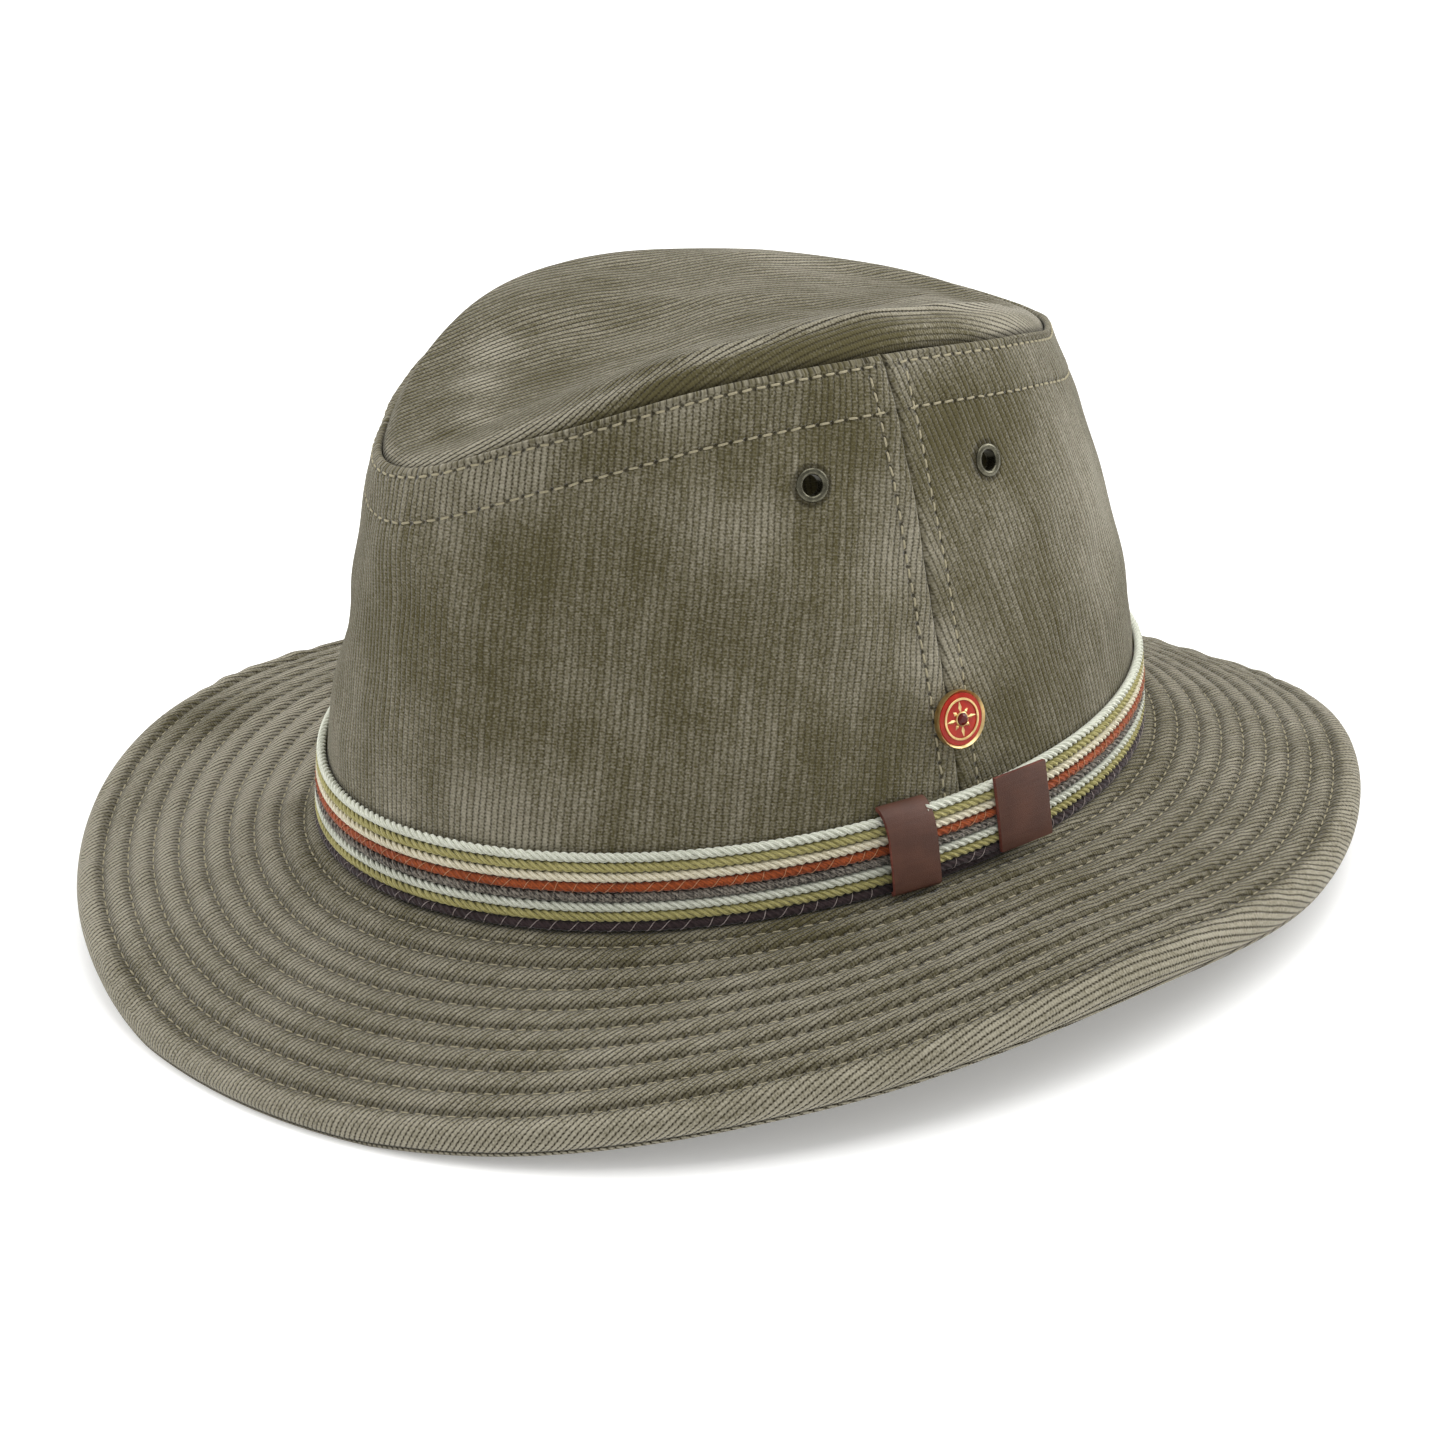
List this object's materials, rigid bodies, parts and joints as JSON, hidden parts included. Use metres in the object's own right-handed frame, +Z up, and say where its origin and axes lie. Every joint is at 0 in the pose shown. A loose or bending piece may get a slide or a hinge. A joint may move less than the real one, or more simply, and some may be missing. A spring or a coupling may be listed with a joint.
{
  "type": "traveller hat",
  "caption": "Soft cotton traveller hat with a creased teardrop crown, a wavy quilted brim, a band of coloured cords, leather keepers, eyelets and a small round badge.",
  "frame": {"origin": "middle of the hat's outline seen from above, on the surface that the brim rests on", "axes": "+Z up, -Y towards the front of the hat, +X towards the wearer's left"},
  "size_m": [0.2827, 0.3151, 0.1454],
  "materials": {
    "cotton": "washed ribbed cotton",
    "cotton_under": "washed ribbed cotton, underside",
    "cords": "twisted and braided cotton cords",
    "leather": "smooth brown leather, satin",
    "gunmetal": "aged dark brass",
    "gold": "polished gold plate",
    "enamel": "glossy red enamel"
  },
  "bodies": {
    "root": {"crown_side_front": "cotton", "crown_side_back": "cotton", "crown_tip": "cotton", "brim_top": "cotton", "brim_under": "cotton_under", "hatband": "cords", "hatband_tail": "cords", "keeper_front": "leather", "keeper_back": "leather", "eyelet_left_front": "gunmetal", "eyelet_left_back": "gunmetal", "eyelet_right_front": "gunmetal", "eyelet_right_back": "gunmetal", "badge_base": "gold", "badge_enamel": "enamel"}
  },
  "joints": []
}
